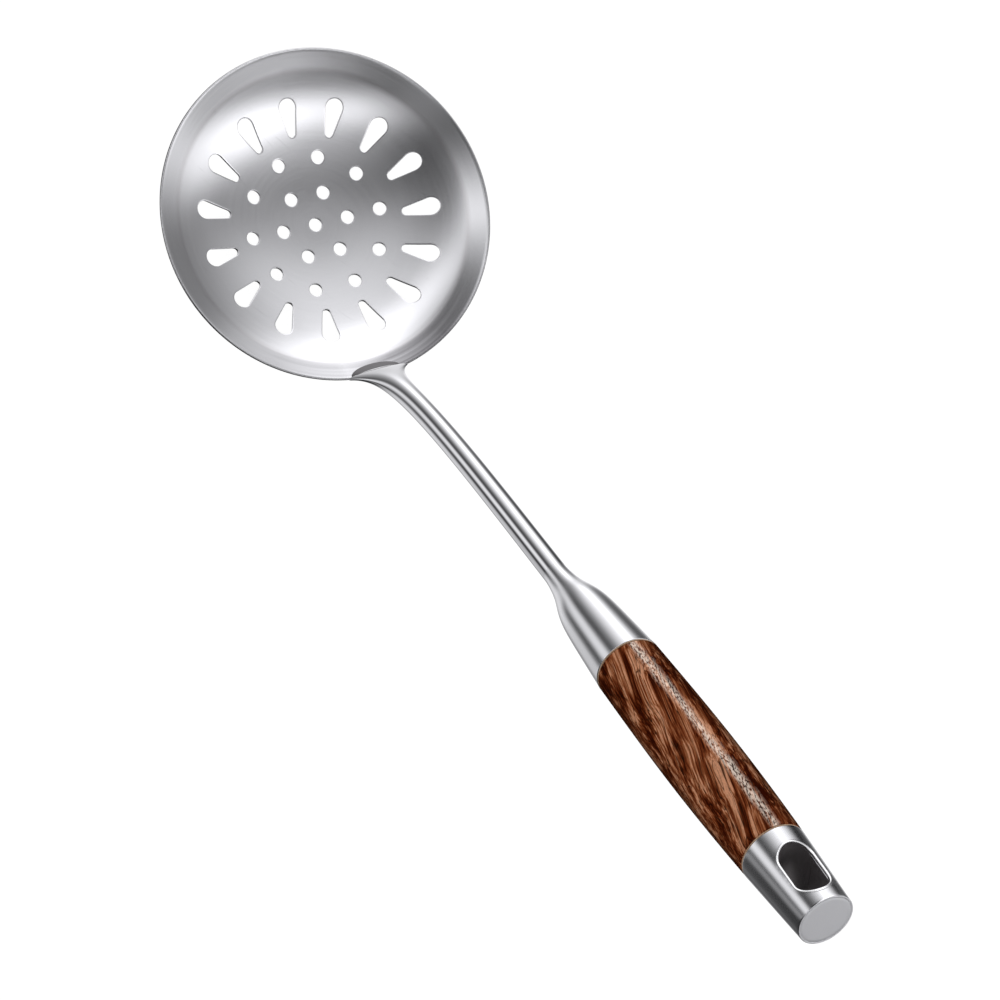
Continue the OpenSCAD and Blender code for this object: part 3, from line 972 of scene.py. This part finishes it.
# ---------------------------------------------------------------- pieces

HANDLE_AXES = (UP, SIDE, ALONG)
ROW_AXES = (Vector((1.0, 0.0, 0.0)), SIDE, Vector((0.0, 0.0, 1.0)))
BRIGHT = (0.80, 0.80, 0.82)
EVEN = (1.0, 1.0, 1.0)
bowl_steel = bowl_material()
# Name, colour, roughness and its spread, grain scale along its axes, those axes, depth of the grain
polished = steel("polished_steel", BRIGHT, 0.19, 0.012, (1.5, 1.5, 0.04), HANDLE_AXES, 0.004)
mirror = steel("mirror_steel", BRIGHT, 0.085, 0.006, (0.1, 0.1, 0.02), HANDLE_AXES)
bright_lip = steel("bright_lip", (0.92, 0.92, 0.93), 0.22, 0.01, EVEN, HANDLE_AXES)
machined = steel("machined_steel", (0.55, 0.55, 0.58), 0.35, 0.06, (1.0, 1.0, 4.0), HANDLE_AXES, 0.1)
# Near-black steel for the weld pieces; on the crescent under the lip its darkness is painted shade
weld_steel = steel("weld_steel", (0.15, 0.145, 0.15), 0.42, 0.06, (1.2, 1.2, 1.2), ROW_AXES, 0.03)
# Near-black steel on the bowl's cut edge: painted shade along the rim's outline
cut_edge_shade = steel("cut_edge_shade", (0.11, 0.11, 0.115), 0.35, 0.03, EVEN, ROW_AXES)
dark_steel = steel("dark_steel", (0.30, 0.28, 0.285), 0.6, 0.04, (0.4, 0.4, 0.1), HANDLE_AXES, 0.02)
matt_steel = steel("matt_steel", (0.75, 0.75, 0.77), 0.48, 0.03, (2.0, 2.0, 2.0), HANDLE_AXES, 0.02)
rosewood = wood_material()
fibre = seal_material()


def place_piece(piece, node, slot_name, *materials):
    """Rides a piece on the body in place of a CAD node and gives it its materials."""
    for material in materials:
        piece.data.materials.append(material)
    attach(piece, "root")
    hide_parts(node)
    return piece


def use_second_material(piece, test):
    """Gives the faces that pass a test the piece's second material."""
    for polygon in piece.data.polygons:
        if test(polygon):
            polygon.material_index = 1


def in_liner_wall(polygon):
    """Whether a face of the liner lies deeper than its lips."""
    centre = polygon.center / MM - JOINT
    p = centre.dot(ALONG) - GRIP_LEN - SLOT_AT
    sideways = min(abs(centre.dot(SIDE)) + LIP_W, SLOT_HALF_W + LIP_W)
    skin = math.sqrt(max(0.0, cap_at(SLOT_AT + p) ** 2 - sideways ** 2))
    return abs(centre.dot(UP)) <= skin - 0.25


bowl = place_piece(make_bowl(), "bowl", "bowl_steel", bowl_steel, cut_edge_shade)
place_piece(make_neck(), "neck", "polished_steel", mirror)
place_piece(make_lip_weld(), "lip_weld", "weld_steel", weld_steel)
place_piece(make_weld(), "root_weld", "weld_steel", weld_steel)
place_piece(make_bolster(), "bolster", "polished_steel", polished)
place_piece(make_seal("front_ring", 0.0, BOLSTER_R - 0.1), "front_seal", "seal", fibre)
place_piece(make_grip(), "grip", "wood", rosewood)
place_piece(make_seal("rear_ring", GRIP_LEN - SEAL_T, CAP_R - 0.1), "rear_seal", "seal", fibre)
cap = place_piece(make_cap(), "end_cap", "polished_steel", polished, matt_steel)
liner = place_piece(make_liner(), "slot_liner", "dark_steel", bright_lip, dark_steel)
place_piece(make_end_plate(), "end_plate", "matt_steel", matt_steel)
# The dish is kept out of the polished bar's reflection
bowl.visible_glossy = False
for node_name in ("bolster_plug", "lock_washer", "tang_rod", "cap_plug"):
    node_object = frame["nodes"][node_name]
    node_object.data.materials.clear()
    node_object.data.materials.append(machined)

# Dull: the liner's wall between its lips. Matt: the cap's end ring. Dark: the bowl's cut edge, near black
# as painted shade along the rim.
RIM_FACE_W = 0.36
use_second_material(liner, in_liner_wall)
use_second_material(cap, lambda polygon: polygon.normal.dot(ALONG) > 0.9)
use_second_material(bowl, lambda polygon: polygon.center.xy.length / MM > BOWL_R - RIM_FACE_W)


# ---------------------------------------------------------------- stage, light, camera

def direction(azimuth, elevation):
    """A unit vector from angles in degrees."""
    a, e = math.radians(azimuth), math.radians(elevation)
    return Vector((math.cos(e) * math.cos(a), math.cos(e) * math.sin(a), math.sin(e)))


def make_floor():
    """A wide round sheet just under the bowl, evenly lit so that it looks white."""
    size = 4000.0
    count = 48
    gap = 1.0
    z = cad_box[0][2] / MM - gap
    turns = [2 * math.pi * k / count for k in range(count)]
    ring = [(size * math.cos(a), size * math.sin(a), z) for a in turns]
    floor = mesh_piece("floor", ring, [tuple(range(count))])
    material, tree, output = new_material("pale_floor")
    diffuse = put(tree, "ShaderNodeBsdfDiffuse", {"Color": (0.15, 0.15, 0.15, 1.0)}).outputs[0]
    glow = put(tree, "ShaderNodeEmission", {"Color": (1.0, 1.0, 1.0, 1.0), "Strength": 0.96}).outputs[0]
    both = put(tree, "ShaderNodeAddShader", {0: diffuse, 1: glow}).outputs[0]
    tree.links.new(both, output.inputs[0])
    floor.data.materials.append(material)
    floor.visible_glossy = False


# Each panel: azimuth, elevation, half widths sideways and upwards in degrees, tilt, strength.
# A negative strength is a black flag.
PANELS = {
    "left_strip": (175, 33, 45, 5, 25, 1.6),
    "left_glow": (150, 55, 40, 20, 35, 0.8),
    "right_strip": (15, 57, 5, 32, 70, 1.7),
    "right_glow": (30, 70, 28, 12, -30, 0.5),
    "right_low": (25, 15, 40, 10, -20, 1.8),
    "back_panel": (65, 35, 7, 25, 35, 1.4),
    "front_panel": (-105, 30, 18, 10, -10, 1.2),
    "overhead_flag": (-90, 75, 35, 30, 0, -0.15),
    "handle_key": (160, 0, 25, 30, -30, 1.2),
    "grip_shine": (160, -6, 6, 26, -8, 0.4),
    "key_foot": (153, -36, 10, 24, -16, 0.6),
    "key_flag": (130, -12, 15, 15, 0, -0.45),
    "handle_strip": (-130, -10, 10, 30, -30, 1.0),
    "strip_foot": (-160, -46, 5, 18, -32, 0.5),
    "edge_strip": (-107, -27, 4, 28, 0, 0.3),
    "rim_flag": (-152, 31, 24, 7, 0, -0.4),
    "under_right": (100, -65, 20, 17, 0, 1.0),
    "under_left": (-130, -68, 15, 17, 0, 0.85),
}


def panel_glow(tree, ray, azimuth, elevation, half_wide, half_high, tilt):
    """How bright a panel is in a direction: 1 in its middle, soft at its edges, 0 behind."""
    middle = direction(azimuth, elevation)
    sideways = direction(azimuth + 90, 0)
    upwards = middle.cross(sideways)
    turned = math.radians(tilt)
    wide_axis = sideways * math.cos(turned) + upwards * math.sin(turned)
    high_axis = upwards * math.cos(turned) - sideways * math.sin(turned)
    cubes = []
    for axis, half in ((wide_axis, half_wide), (high_axis, half_high)):
        off = measure(tree, "DOT_PRODUCT", ray, axis / math.sin(math.radians(half + 1)))
        cubes.append(calc(tree, "POWER", calc(tree, "ABSOLUTE", off), 3.0))
    fade = calc(tree, "EXPONENT", calc(tree, "MULTIPLY", calc(tree, "ADD", *cubes), -0.8))
    front = calc(tree, "GREATER_THAN", measure(tree, "DOT_PRODUCT", ray, middle), 0.0)
    return calc(tree, "MULTIPLY", fade, front)


def make_world():
    """A soft studio: a dark tent with bright panels round the object, and a white backdrop."""
    world = bpy.data.worlds.new("studio")
    bpy.context.scene.world = world
    world.use_nodes = True
    tree = world.node_tree
    tree.nodes.clear()
    ray = put(tree, "ShaderNodeTexCoord").outputs["Generated"]
    parts = put(tree, "ShaderNodeSeparateXYZ", {0: ray}).outputs
    above = remap(tree, parts[2], -0.12, 0.25, 0.0, 1.0)
    grey = calc(tree, "MULTIPLY_ADD", parts[1], 0.04, 0.03)
    total = calc(tree, "MULTIPLY_ADD", grey, above, 0.03)
    for *shape, strength in PANELS.values():
        total = calc(tree, "MULTIPLY_ADD", panel_glow(tree, ray, *shape), strength, total)
    total = calc(tree, "MAXIMUM", total, 0.0)
    cool = (0.985, 0.985, 1.0, 1.0)
    tent = put(tree, "ShaderNodeBackground", {"Color": cool, "Strength": total})
    backdrop = put(tree, "ShaderNodeBackground", {"Color": (1.0, 1.0, 1.0, 1.0), "Strength": 1.0})
    seen = put(tree, "ShaderNodeLightPath").outputs["Is Camera Ray"]
    both = {0: seen, 1: tent.outputs[0], 2: backdrop.outputs[0]}
    mixed = put(tree, "ShaderNodeMixShader", both).outputs[0]
    output = put(tree, "ShaderNodeOutputWorld")
    tree.links.new(mixed, output.inputs[0])


def make_camera():
    """High over the bowl, a little to the front, turned so that the handle runs down to the right."""
    data = bpy.data.cameras.new("camera")
    camera = bpy.data.objects.new("camera", data)
    bpy.context.scene.collection.objects.link(camera)
    data.sensor_width = 36.0
    data.lens = 96.58
    data.clip_end = 20.0
    place = Vector((159.19, -296.70, 904.65)) * MM
    aim = Vector((117.76, 0.0, 100.47)) * MM
    back = (place - aim).normalized()
    level = Vector((0, 0, 1)).cross(back).normalized()
    roll = math.radians(65.66)
    right = level * math.cos(roll) + back.cross(level) * math.sin(roll)
    turned = Matrix((right, back.cross(right), back)).transposed()
    camera.matrix_world = Matrix.Translation(place) @ turned.to_4x4()
    bpy.context.scene.camera = camera


make_floor()
make_world()
make_camera()
bpy.context.scene.view_settings.view_transform = "Standard"
